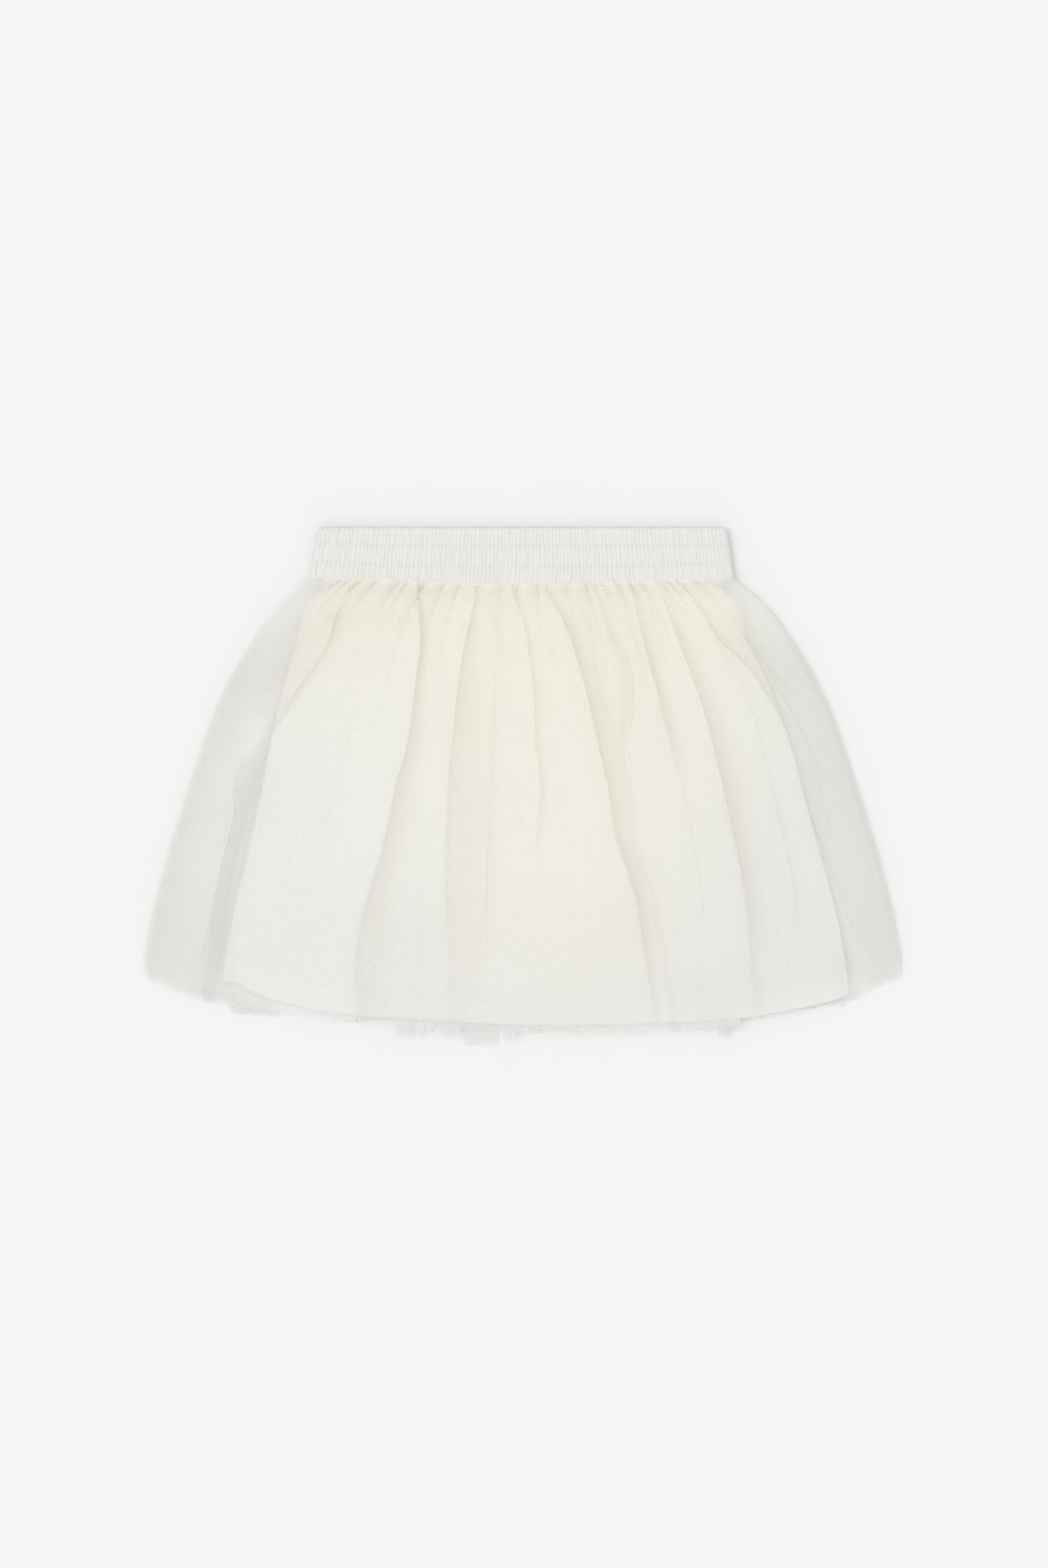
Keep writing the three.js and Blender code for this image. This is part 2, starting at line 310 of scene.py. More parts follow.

# %% [markdown]
# ## Woven cloth
#
# The lining and the waistband's casing are plain weave. Two crossed bands of fine waves make the threads
# stand out a little, and a slow noise keeps the colour from being one flat tone. A painted shade value
# darkens the cloth a little where it is pinched or lies under a fold: on the casing in its grooves, and on
# the lining under the net's folds.

# %% Woven material
def woven_material(name, light, dark, painted_shade_colour, thread, bump, sheen):
    g = Graph(name)
    flat = g.node("ShaderNodeUVMap", {"uv_map": "cut"}).outputs[0]
    wave = dict(Vector=flat, Scale=0.5 / thread, Distortion=0.4)
    warp = g.node("ShaderNodeTexWave", {"bands_direction": "X"}, **wave)
    weft = g.node("ShaderNodeTexWave", {"bands_direction": "Y"}, **wave)
    weave = g.math("MULTIPLY", warp.outputs["Fac"], weft.outputs["Fac"])
    slubs = g.node("ShaderNodeTexNoise", None, Vector=flat, Scale=90.0, Detail=4.0)
    tone = g.spread(slubs.outputs["Fac"], 0.3, 0.7, 0.0, 1.0)
    colour = g.blend(tone, light, dark)
    colour = g.blend(g.attribute("painted_shade"), colour, painted_shade_colour)
    raised = g.node("ShaderNodeBump", None, Strength=bump, Distance=0.05 * MM, Height=weave)
    cloth = g.node("ShaderNodeBsdfPrincipled", None, Base_Color=colour, Roughness=0.85,
                   Normal=raised.outputs[0])
    cloth.inputs["Sheen Weight"].default_value = sheen
    cloth.inputs["Specular IOR Level"].default_value = 0.2
    return g.finish(cloth.outputs[0])


# The third colour of each cloth is the colour of its painted shade.
lining_cloth = woven_material("lining_cloth", (0.803, 0.799, 0.784, 1), (0.788, 0.783, 0.766, 1),
                              (0.73, 0.715, 0.67, 1), 0.35 * MM, 0.3, 0.05)
casing_cloth = woven_material("casing_cloth", (0.775, 0.768, 0.745, 1), (0.76, 0.751, 0.725, 1),
                              (0.62, 0.605, 0.57, 1), 0.4 * MM, 0.4, 0.05)
sewing_thread = woven_material("sewing_thread", (0.86, 0.85, 0.82, 1), (0.82, 0.81, 0.78, 1),
                               (0.7, 0.69, 0.66, 1), 0.15 * MM, 0.2, 0.1)

table_graph = Graph("table_paint")
speckle = table_graph.node("ShaderNodeTexNoise", None, Scale=300.0)
table_shade = table_graph.spread(speckle.outputs["Fac"], 0.3, 0.7, 0.0, 1.0)
table_colour = table_graph.blend(table_shade, (0.82, 0.82, 0.82, 1), (0.815, 0.815, 0.815, 1))
table_paint = table_graph.node("ShaderNodeBsdfPrincipled", None, Base_Color=table_colour, Roughness=0.9)
table_paint.inputs["Specular IOR Level"].default_value = 0.0
table.data.materials.append(table_graph.finish(table_paint.outputs[0]))
print("materials:", [material.name for material in bpy.data.materials])

# %% [markdown]
# ## The skirt's outline and folds
#
# These are the marks on the pattern, with the distance down first. The side is half the skirt's width. The
# hems are the other way round: how far down they hang at each x. Each fold is the line along which one
# stretch of net ends on top of the next. It has how far it overlaps it, how deep the valley beside it is,
# how high the crest on it is, how wide both reach, how much painted shade lies in the valley (dark) and on
# the overlap (edge), and which side lies on top.

# %% Marks
SIDE = [(30.6, 124.6), (36, 132.6), (49, 146), (70, 161.5), (100, 178), (141, 193), (183, 206.5),
        (224, 217.5), (252, 223)]
LINING_LEFT = [(31, 113), (46, 127), (63, 132), (88, 139), (116, 146), (176, 158), (236, 172), (281, 179)]
LINING_RIGHT = [(31, 113), (46, 127), (63, 131), (88, 143), (116, 154), (176, 171), (236, 187), (281, 194)]
LOFT_SHARE = [(35, 0), (48, 0.5), (70, 0.88), (115, 1), (210, 0.85), (300, 0.4)]
BAND_HALF_TOP = 120.0
BAND_HALF_FOOT = 124.5
SEAM_MIDDLE = 35.2
SEAM_RISE = 4.6
FOLD_START = 0.95
CORNER_RISE = 9.0
SIDE_SINK = 1.7
SEAM_GAP = 0.15
NET_HEM = [(-215, 268.5), (-202, 273.6), (-191, 277), (-172, 281.8), (-142, 285.6), (-126, 288),
           (-105, 290.8), (-85, 291.2), (-60, 294.2), (-30, 295.8), (0, 297), (33, 298.6), (60, 298.6),
           (80, 296), (97, 295), (110, 293.2), (128, 290.4), (141, 288.2), (163, 283.6), (178, 280.2),
           (200, 274.6), (215, 268)]
LINING_HEM = [(-178, 268), (-168, 272.9), (-142, 280.8), (-117, 285.5), (-95, 288), (-73, 289.2),
              (-45, 290.7), (-14, 292.3), (30, 293), (80, 291.6), (128, 288.4), (149, 284.6), (178, 277.8),
              (192, 272.5)]

# The lines of the front folds run from the waist to the hem, in the order in which they stand from the
# left to the right.
# The painted shade on the overlap of most front folds, down the skirt.
EDGE = [(40, 0.1), (110, 0.2), (170, 0.3), (260, 0.25), (300, 0)]
FRONT_FOLDS = [
    dict(line=[(38, -101), (46, -105.9), (68, -114), (100, -134.4), (119, -147), (133, -159.8),
               (140, -164.9), (168, -168.9), (195, -175.6), (218, -180.6), (243, -185.7), (260, -188.2),
               (290, -191)],
         overlap=[(38, 1.8), (100, 1.8), (116, 0.8), (138, 0.8), (158, 2.0), (235, 1.4), (275, 0.4),
                  (290, 0)],
         valley=1.6, crest=0.6, reach=[(38, 2.5), (117, 2.5), (140, 12), (285, 8)],
         dark=[(38, 0.5), (105, 0.4), (125, 0.15), (235, 0.1), (268, 0)],
         edge=[(40, 0.1), (100, 0.2), (114, 0), (142, 0), (170, 0.2), (240, 0.15), (270, 0)], on_top="left"),
    dict(line=[(36, -60.7), (70, -59.8), (84, -61.5), (106, -64.1), (131, -68.2), (153, -74.3), (174, -78.4),
               (192, -82.4), (208, -87.5), (227, -92.6), (245, -96.1), (263, -97.3), (290, -97)],
         overlap=[(36, 1.8), (100, 2.2), (180, 1.8), (240, 0.8), (285, 0)], valley=3.0, crest=1.1,
         reach=[(36, 3), (84, 4.5), (131, 9), (174, 14), (208, 14), (245, 20), (290, 18)],
         dark=[(36, 0.42), (130, 0.5), (220, 0.55), (270, 0.42), (300, 0.25)], edge=EDGE, on_top="left"),
    dict(line=[(39, -26.5), (54, -30.5), (74, -34.6), (94, -37.7), (115, -39.7), (135, -41.7),
               (166, -43.2), (196, -44.4), (227, -43.8), (257, -42.8), (295, -43.8)],
         overlap=[(39, 1.8), (100, 2.2), (150, 1.4), (200, 0.8), (280, 0)], valley=2.2, crest=0.8,
         reach=[(39, 3), (74, 8), (115, 17), (166, 27), (200, 28), (227, 24), (295, 18)],
         dark=[(39, 0.38), (120, 0.36), (200, 0.4), (260, 0.3), (295, 0.12)], edge=EDGE, on_top="left"),
    dict(line=[(36, -5.4), (53, 0.5), (72, 4), (92, 6.5), (118, 8), (135, 9.8), (155, 11.4), (176, 9.8),
               (215, 8)],
         overlap=[(36, 1.6), (100, 1.8), (170, 1.2), (215, 0)], valley=1.4, crest=0.4,
         reach=[(36, 3), (215, 4)], dark=0.32, edge=EDGE, on_top="left"),
    dict(line=[(37, 15), (54, 24), (68, 29.1), (84, 34.2), (100, 38.3), (123, 43.8), (139, 47.5),
               (155, 50.9), (176, 54), (196, 60.7), (216, 66.8), (237, 70.5), (257, 74), (292, 78)],
         overlap=[(37, 1.8), (100, 2.2), (200, 1.8), (245, 1.1), (275, 0.2), (292, 0)], valley=3.0,
         crest=0.9, reach=[(37, 5), (123, 14), (155, 12), (176, 11), (216, 7), (292, 6)],
         dark=[(37, 0.36), (150, 0.42), (230, 0.5), (262, 0.3), (292, 0.08)], edge=EDGE, on_top="left"),
    dict(line=[(39, 31.2), (58, 39), (84, 45), (105, 49.5), (123, 54), (140, 58.5)],
         overlap=[(39, 1.5), (110, 1.8), (140, 0)], valley=1.2, crest=0.4, reach=3, dark=0.25, edge=EDGE,
         on_top="right"),
    dict(line=[(39, 42.4), (52, 51.5), (68, 57.6), (82, 64.6), (94, 66.2), (109, 64.8), (123, 60.7),
               (131, 60.1), (147, 62.7), (166, 65.8), (188, 68.8), (208, 73.9), (227, 80), (247, 84.1),
               (267, 88.2), (294, 93)],
         overlap=[(39, 1.8), (100, 2), (200, 1.4), (280, 0)], valley=2.0, crest=0.7,
         reach=[(39, 5), (94, 7), (131, 4), (294, 4)],
         dark=[(39, 0.3), (230, 0.34), (294, 0.15)], edge=EDGE, on_top="right"),
    dict(line=[(36, 64.8), (52, 67.8), (66, 70.9), (80, 74.3), (94, 78.4), (109, 82.1), (121, 86.1),
               (133, 89.2), (160, 97)],
         overlap=[(36, 1.8), (100, 2), (140, 1), (160, 0)], valley=1.8, crest=0.5,
         reach=[(36, 4), (94, 5), (133, 9), (160, 10)], dark=0.4, edge=EDGE, on_top="left"),
    dict(line=[(48, 76), (64, 80), (74, 83.1), (86, 87)],
         overlap=[(48, 1.5), (70, 1.5), (86, 0)], valley=0.8, crest=0.3, reach=3, dark=0.25, edge=EDGE,
         on_top="left"),
    dict(line=[(41, 83.1), (58, 88.2), (74, 94.3), (88, 99.4), (102, 104.5), (115, 108.5), (131, 112.6),
               (147, 116.7), (170, 121.8), (188, 125.8), (208, 129.9), (229, 133), (253, 135), (292, 137.5)],
         overlap=[(41, 1.8), (100, 2.2), (200, 1.6), (285, 0)], valley=2.6, crest=0.8,
         reach=[(41, 4), (88, 9), (115, 13), (147, 13), (188, 11), (253, 8), (292, 6)],
         dark=[(41, 0.36), (160, 0.48), (250, 0.4), (292, 0.2)], edge=EDGE, on_top="left"),
    dict(line=[(39, 98.4), (52, 106.5), (64, 114.6), (74, 124.8), (82, 133), (94, 141.1), (106, 149.2),
               (119, 155.4), (133, 160.4), (153, 165.5), (168, 169.6), (186, 175.7), (206, 183.9),
               (227, 191), (255, 204)],
         overlap=[(39, 1.8), (90, 1.6), (130, 1), (255, 0.5)], valley=1.6, crest=0.5,
         reach=[(39, 5), (255, 9)], dark=0.26, edge=EDGE, on_top="left"),
    dict(line=[(39, 112.6), (50, 120.7), (68, 133), (82, 145.2), (96, 157.4), (109, 167.6), (123, 173.7),
               (160, 184)],
         overlap=[(39, 1.4), (70, 0.9), (110, 0.5), (160, 0)], valley=0.8, crest=0.3, reach=5, dark=0.15,
         edge=0.05, on_top="left"),
]
LEFT_FOLD = FRONT_FOLDS[0]
FLANK_FOLD = FRONT_FOLDS[10]
STRIP_END = [(115, -146), (142, -148.8), (171, -157.2), (210, -166.4), (235, -172.5), (270, -178)]

# Each soft shade is a place (x, down), half its width and length, and how much darker it is.
SOFT_SHADES = [(-62, 250, 17, 50, 0.3), (155, 225, 24, 50, 0.3), (130, 185, 45, 55, 0.35),
               (-20, 292, 70, 14, 0.2), (-110, 58, 30, 22, 0.3), (30, 285, 60, 16, 0.15),
               (-138, 165, 30, 70, 0.3), (-182, 270, 16, 22, 0.4), (185, 262, 20, 16, 0.3),
               (70, 240, 40, 40, 0.15), (-92, 292, 30, 10, 0.2), (-156, 121, 10, 18, -0.6),
               (112, 274, 32, 16, 0.4), (174, 113, 22, 28, -0.15)]

# The folds of the lower layers show only through others, so they are quiet and much alike.
UNDER = dict(valley=0.8, crest=0, reach=9, dark=0, edge=0.12)
UNDER_FOLDS = [
    dict(UNDER, line=[(40, -78), (90, -95), (150, -112), (210, -124), (285, -131)],
         overlap=[(40, 2), (150, 2.2), (230, 1), (285, 0)], on_top="right"),
    dict(UNDER, line=[(40, -12), (90, -16), (150, -18), (210, -20), (292, -21)],
         overlap=[(40, 2), (150, 2.2), (230, 1), (292, 0)], on_top="left", reach=10),
    dict(UNDER, line=[(40, 52), (90, 78), (150, 92), (210, 104), (290, 112)],
         overlap=[(40, 2), (150, 2.2), (230, 1), (290, 0)], on_top="right"),
    dict(UNDER, line=[(40, 96), (90, 128), (150, 146), (210, 160), (285, 168)],
         overlap=[(40, 2), (150, 2.2), (230, 1), (285, 0)], on_top="left"),
    dict(UNDER, line=[(60, 128), (110, 160), (135, 171.8), (172, 180), (196, 188.2), (260, 200)],
         overlap=[(60, 1.8), (135, 1.2), (200, 0.6), (260, 0)], on_top="left", valley=0.6, reach=6),
]
BACK = dict(valley=0, crest=0, reach=8, dark=0, edge=0.5)
BACK_FOLDS = [
    dict(BACK, line=[(40, -98), (100, -140), (180, -172), (275, -188)],
         overlap=[(40, 3), (180, 7), (275, 6)], on_top="right"),
    dict(BACK, line=[(40, -50), (100, -70), (180, -84), (290, -92)],
         overlap=[(40, 3), (180, 7), (290, 6)], on_top="left"),
    dict(BACK, line=[(40, 4), (100, 8), (180, 8), (296, 6)],
         overlap=[(40, 3), (180, 6), (296, 6)], on_top="right"),
    dict(BACK, line=[(40, 44), (100, 66), (180, 80), (292, 88)],
         overlap=[(40, 3), (180, 7), (292, 5)], on_top="right"),
    dict(BACK, line=[(40, 90), (100, 134), (180, 160), (280, 172)],
         overlap=[(40, 3), (180, 7), (280, 6)], on_top="left"),
]
print("folds:", len(FRONT_FOLDS), "front,", len(UNDER_FOLDS), "under,", len(BACK_FOLDS), "back")

# %% [markdown]
# ## How a flat panel comes to lie in folds
#
# A panel starts as a flat grid, and every point of it is carried to its place: across by the outline, down
# between the waist seam and the hem, and up by the loft. A fold then pushes the points near its line back
# over themselves. The same bump, `pleat`, moves them sideways and up, so that the net makes a flat S: over
# the line, back under it and on. That S can't cross itself, however far it overlaps.

# %% Fold helpers
FOOT_HEIGHT = BAND_TOP - 0.9
HEM_DOWN = 300.0
PLEAT_RATIO = 3.2
PLEAT_OVERLAP = 2.12
PLEAT_HEIGHT = 1.1
PLEAT_EDGE = 0.77


def side_half(down):
    return follow(SIDE, down)


def seam_down(x):
    return SEAM_MIDDLE - SEAM_RISE * (x / BAND_HALF_FOOT) ** 2


def mark(value, down):
    """A fold's mark at a distance down: one number for the whole fold, or a line through its points."""
    if isinstance(value, (int, float)):
        return value
    places, values = np.array(value, float).T
    return np.interp(down, places, values)


def pleat(t):
    return t * np.exp(-t * t / 2)


def fade_in_out(fold, down, start, end):
    """How much of a fold there is between its marks. A fold that meets the hem doesn't end before it."""
    first, last = fold["line"][0][0], fold["line"][-1][0]
    held = ease(down, first - 6, first + start)
    return held if last > 240 else held * (1 - ease(down, last - end, last + 1))


def folded(x, down, folds):
    """Moves x into the folds. Gives the new x, the layers' lift, and the painted shade of each point."""
    moved, lift, painted_shade = x.copy(), np.zeros_like(x), np.zeros_like(x)
    for fold in folds:
        overlap = mark(fold["overlap"], down)
        reach = mark(fold["reach"], down)
        held = fade_in_out(fold, down, 4, 14)
        sign = 1 if fold["on_top"] == "left" else -1
        line = follow(fold["line"], down)
        width = np.maximum(overlap / PLEAT_OVERLAP, 0.8)
        t = sign * (x - line + sign * overlap / 2) / width
        strength = held * np.clip(overlap / 2, 0, 1)
        moved -= sign * PLEAT_RATIO * width * pleat(t) * strength
        lift -= PLEAT_HEIGHT * pleat(t) * strength * np.clip(overlap / 4, 0.4, 1)

        long_held = fade_in_out(fold, down, 25, 50)
        soft = 1 - np.clip(overlap / 1.6, 0, 1)
        bend = PLEAT_EDGE + 6 * soft / width
        before = np.exp(-((np.minimum(t + PLEAT_EDGE, 0) * width / reach) ** 2)) * fold["crest"]
        after = np.exp(-((np.maximum(t - PLEAT_EDGE, 0) * width / reach) ** 3)) * fold["valley"]
        below = ease(t, -bend, bend)
        lift += long_held * (before * (1 - below) - after * below) * (1 - 0.5 * soft)
        # Painted shade goes in the valley past the fold's line (dark) and on the overlap (edge).
        past = sign * (moved - line)
        shade = ease(t, -PLEAT_EDGE, PLEAT_EDGE) * ease(past, -1.2 - soft, 0.6 + 3 * soft)
        shade = shade * np.exp(-((np.maximum(past, 0) / reach) ** 3))
        inside = np.exp(-(((past + overlap / 2) / (overlap / 2 + 0.4)) ** 4)) * strength
        painted_shade = np.maximum(painted_shade, long_held * mark(fold["dark"], down) * shade)
        painted_shade = np.maximum(painted_shade, inside * mark(fold["edge"], down))
    return moved, lift, painted_shade


def valleys(x, down, folds):
    """How far a lower layer dips beside each fold of the layer on it, and the painted shade it takes there.
    """
    dip, painted_shade = np.zeros_like(x), np.zeros_like(x)
    for fold in folds:
        sign = 1 if fold["on_top"] == "left" else -1
        away = sign * (x - follow(fold["line"], down))
        beside = np.exp(-((np.maximum(away, 0) / mark(fold["reach"], down)) ** 3))
        beside = beside * ease(away, -1.5, 1.5) * fade_in_out(fold, down, 25, 50)
        dip = np.maximum(dip, fold["valley"] * beside)
        painted_shade = np.maximum(painted_shade, mark(fold["dark"], down) * beside)
    return dip, painted_shade


# %% [markdown]
# ## Gathers
#
# The waist seam packs the net into small puffs, each a different width, height and length. Between two
# puffs the net is pinched down to the seam. The puffs swell over the band's lower edge, then die out
# down the skirt, some after two centimetres and some after ten.

# %% Gather helper
def gathered(across, below, sheet):
    """The puffs' height at a place across (-1 to 1) and a distance below the seam, and how pinched it is."""
    rng = np.random.default_rng(sheet["seed"] + 5)
    count = sheet["gathers"]
    steps = rng.uniform(0.5, 1.6, count)
    edges = np.concatenate([[0], np.cumsum(steps)]) / steps.sum() * 2 - 1
    tall = rng.uniform(0.45, 1.2, count) * sheet["gather_height"]
    long = rng.uniform(9, 42, count)
    i = np.clip(np.searchsorted(edges, across) - 1, 0, count - 1)
    part = np.clip((across - edges[i]) / (edges[i + 1] - edges[i]), 0, 1)
    arch = np.sin(part * math.pi) ** 0.75
    width = (edges[i + 1] - edges[i]) * count / 2
    fade = np.exp(-below / long[i])
    return tall[i] * arch * np.clip(width, 0.5, 1.3) * fade, (1 - arch) ** 2 * fade


DENTS = [(-112, 52, 3, 9, 0.7, 0.5), (-76, 52, 1.8, 5, 0.8, -0.5), (-71, 55, 1.6, 5, 0.9, -0.5),
         (-66, 56, 1.6, 6, 0.9, 0.3), (-52, 52, 2.5, 6, 0.6, -0.2), (-34, 56, 1.8, 8, 0.9, 0.4),
         (-14, 60, 2.0, 10, 0.7, 0.25), (18, 72, 2.2, 12, 0.6, 0.3), (42, 62, 1.5, 9, 0.7, 0.35),
         (54, 64, 1.6, 10, 0.9, 0.4), (68, 70, 1.5, 12, 0.7, 0.35), (77, 80, 2.2, 11, 0.8, 0.35),
         (96, 66, 1.8, 9, 0.6, 0.6), (116, 78, 2.5, 10, 0.5, 0.7)]


def dented(x, down):
    """Short creases, listed one by one: each is a place, half its width and length, a depth and how far it
    leans.
    """
    dent = np.zeros_like(x)
    for across, below, width, length, depth, lean in DENTS:
        side = (x - across - lean * (down - below)) / width
        dent = np.maximum(dent, depth * np.exp(-(side**2) - ((down - below) / length) ** 2))
    return dent


print("gathers: puffs between 9 and 42 mm long, and", len(DENTS), "short creases")

# %% [markdown]
# ## Hems and shade
#
# The unhemmed edges of the net follow one marked line, with short tabs that hang out and a ragged edge. The
# net has a slow painted shade too. It stands for what so many sheer layers do to the light: they darken
# toward the sides, on the flanks, in the strip beside the left fold, and in soft patches.

# %% Hem and shade helpers
def lining_hem(x):
    return follow(LINING_HEM, x)


def lining_half(x, down):
    """Half the lining's width at a distance down, on the side on which x is."""
    return np.where(x < 0, follow(LINING_LEFT, down), follow(LINING_RIGHT, down))


def tab_drops(sheet, x):
    """Both ends of each tab of a hem, and how far the tab hangs below the hem at each x."""
    for left, right, left_drop, right_drop in sheet["tabs"]:
        yield left, right, np.interp(x, [left, right], [left_drop, right_drop])


def hem_of(sheet, x, corner):
    """How far down the unhemmed edge hangs at an x."""
    hem = follow(NET_HEM, x) + sheet["hem"] - CORNER_RISE * corner**2
    for left, right, drop in tab_drops(sheet, x):
        hem = hem + drop * ease(x, left - 0.4, left + 0.4) * (1 - ease(x, right - 0.4, right + 0.4))
    seed = sheet["seed"]
    return hem + sheet["ragged"] * (0.7 * wobble(x, 13, seed) + 0.35 * wobble(x, 3.1, seed + 1))


def shade_at(x, down):
    """Painted shade: the net darkens toward its sides and hem, and in soft patches where it lies in folds.
    """
    from_side = np.maximum(side_half(down) - np.abs(x), 0)
    shade = np.exp(-from_side / 14) * np.where(x > 0, 0.88, 0.35)
    left_of_fold = follow(LEFT_FOLD["line"], down) - x
    shade = shade + ease(left_of_fold, 0, 3) * (0.34 + 0.4 * ease(left_of_fold, 4, 26))
    shade = shade + 0.42 * ease(x - follow(FLANK_FOLD["line"], down), 0, 8)
    shade = shade * ease(down, 38, 90) + 0.3 * ease(down, 190, 245)
    strip = ease(-left_of_fold, 0, 1.2) * ease(follow(STRIP_END, down) - x, -0.8, 1.4)
    shade = shade + 0.5 * strip * ease(down, 112, 122) * (1 - ease(down, 235, 268))
    for across, below, width, length, amount in SOFT_SHADES:
        shade = shade + amount * np.exp(-(((x - across) / width) ** 2) - ((down - below) / length) ** 2)
    return shade


print("lining hem", round(float(lining_hem(0.0)), 1), "mm down;", len(SOFT_SHADES), "soft shades")

# %% [markdown]
# ## Laying a panel
#
# `lay_panel` does all of it in turn. The side of the net turns a quarter of a circle, so that the front
# and the back panel meet in a soft fold at the skirt's side.

# %% Laying a panel
def side_turn(u):
    """How far the net has turned round the skirt's side: 0 on the flat, a quarter circle at the side."""
    return np.maximum(0, (np.abs(u) - FOLD_START) / (1 - FOLD_START)) * math.pi / 2


def lay_panel(u, v, sheet):
    """Carries a flat grid to the skirt: u is -1 to 1 across it, and v 0 at the waist and 1 at the hem."""
    flat = np.minimum(np.abs(u) / FOLD_START, 1)
    turn = side_turn(u)
    corner = turn / (math.pi / 2)
    side = np.sign(u)

    def x_at(half):
        return side * (flat * (half - sheet["side_fold"]) + sheet["side_fold"] * np.sin(turn))

    seam = seam_down(x_at(BAND_HALF_FOOT - sheet["inset"]))
    hem_x = x_at(side_half(HEM_DOWN) - sheet["inset"])
    hem = hem_of(sheet, hem_x, corner)
    even_hem = follow(NET_HEM, hem_x)
    along = v**1.2
    top = seam - sheet["over_band"]
    down = top + along * (hem - top)
    x = x_at(side_half(down) - sheet["inset"])
    across = side * flat

    dome = 1 - flat**3
    share = follow(LOFT_SHARE, down)
    stretch = np.cos(turn)
    below = np.maximum(down - seam, 0)
    puff, pinch = gathered(across, below, sheet)
    puff = puff * np.clip(8 * (1 - flat), 0.15, 1)
    moved, lift, painted_shade = folded(x, down, sheet["folds"])
    x = x + (moved - x) * stretch
    calm = ease(below, 0, 40)
    ripple = sheet["ripple"] * calm * wobble(x + 0.1 * down, 23, sheet["seed"] + 2)
    if sheet["dip"]:
        dip, painted_shade = valleys(x, down, FRONT_FOLDS)
        lift = lift - sheet["dip"] * dip
    z = sheet["level"] + sheet["loft"] * share * dome + puff + (lift + ripple) * np.clip(dome * 2, 0.1, 1)
    z = z - sheet["hem_sink"] * ease(down, even_hem - 45, even_hem)
    if not sheet["front"]:
        z = np.maximum(z, sheet["floor"])
    middle = SEAM_HEIGHT - SIDE_SINK * ease(below, 5, 60) + (SEAM_GAP if sheet["front"] else -SEAM_GAP)
    z = middle + (z - middle) * stretch
    if sheet["over_band"]:
        dent = dented(x, down)
        rise = 1 - 0.9 * np.exp(-(down - top) / 1.5)
        z = FOOT_HEIGHT + (z - FOOT_HEIGHT) * rise - dent
        # Painted shade goes in the dents, between the puffs and along the net's top edge under the band.
        painted_shade = painted_shade + 0.45 * dent + 0.35 * pinch + 0.45 * np.exp(-(((down - top) / 0.8) ** 2))
        down = down - np.exp(-below / 2.2) * puff * 0.6
    # Painted shade toward the sides and in soft patches, and a darker painted rim where the net turns
    # edge-on.
    painted_shade = np.clip(painted_shade + sheet["side_shade"] * shade_at(x, down) + 0.7 * (1 - stretch), 0, 1)
    return x, down, z, painted_shade


print("side fold from", FOLD_START, "of the panel's half width")

# %% [markdown]
# ## Panels of net
#
# `net_panel` adds Blender's grid, carries its points to the skirt, and writes the flat cut of the panel
# into a UV map in metres, so that the net's holes are the same size all over the cloth. The panels are
# wider than the skirt, because the gathers and folds use them up.
#
# Each panel has its own marks. The hem is how much further down it hangs than the marked line, the inset is
# how far its sides stay inside the outline, and the tabs are bits that hang out below its hem: both ends
# and the drop at each. Near the hem it sinks by hem_sink, and dip is how much of the outer net's valleys
# it takes over.

# %% Net panels
CUT_WIDTH = 540.0
CUT_LENGTH = 262.0
SEAM_HALF = 124.6
MIDDLE_CREAM = [(35, 0.7), (150, 0.75), (230, 0.45), (300, 0.1)]


def grid_object(name, columns, rows):
    """A flat grid from -1 to 1, with its numbers of columns and rows."""
    bpy.ops.object.select_all(action="DESELECT")
    bpy.ops.mesh.primitive_grid_add(x_subdivisions=columns, y_subdivisions=rows, size=2)
    made = bpy.context.object
    made.name = name
    made.data.name = name
    return made


def points_of(mesh):
    co = np.empty(len(mesh.vertices) * 3)
    mesh.vertices.foreach_get("co", co)
    return co.reshape(-1, 3)


def place_points(mesh, x, down, z):
    """Writes places given in millimetres into a mesh in metres."""
    mesh.vertices.foreach_set("co", (np.column_stack([x, TOP - down, z]) * MM).ravel())
    mesh.update()


def paint(mesh, name, values):
    layer = mesh.attributes.new(name, "FLOAT", "POINT")
    layer.data.foreach_set("value", np.asarray(values, np.float32))


def cut_map(mesh, across, along):
    """A UV map in metres of the flat cut, from each point's place on it."""
    while mesh.uv_layers:
        mesh.uv_layers.remove(mesh.uv_layers[0])
    layer = mesh.uv_layers.new(name="cut")
    loops = np.empty(len(mesh.loops), int)
    mesh.loops.foreach_get("vertex_index", loops)
    layer.data.foreach_set("uv", (np.column_stack([across, along])[loops] * MM).ravel())


def cloth_area(mesh):
    return sum(face.area for face in mesh.polygons)


def cream_at(x, down):
    """The yellow of the net: along the waist as far as the lining goes, and down the middle to the hem."""
    beyond = ease(np.abs(x) - lining_half(x, down), -2, 6)
    waist = np.exp(-np.maximum(down - 45, 0) / 55) * ease(side_half(down) - np.abs(x), -5, 38)
    waist = waist * (1 - 0.7 * beyond)
    middle = np.exp(-(((x - 22) / 88) ** 2)) * follow(MIDDLE_CREAM, down)
    return 0.1 + 0.9 * waist + middle


def doubled_at(sheet, x):
    """How much of the net is double at an x, which it is at the tabs."""
    doubled = 0
    for left, right, drop in tab_drops(sheet, x):
        doubled = doubled + ease(x, left, left + 1) * (1 - ease(x, right - 1, right)) * ease(drop, 0, 4)
    return doubled


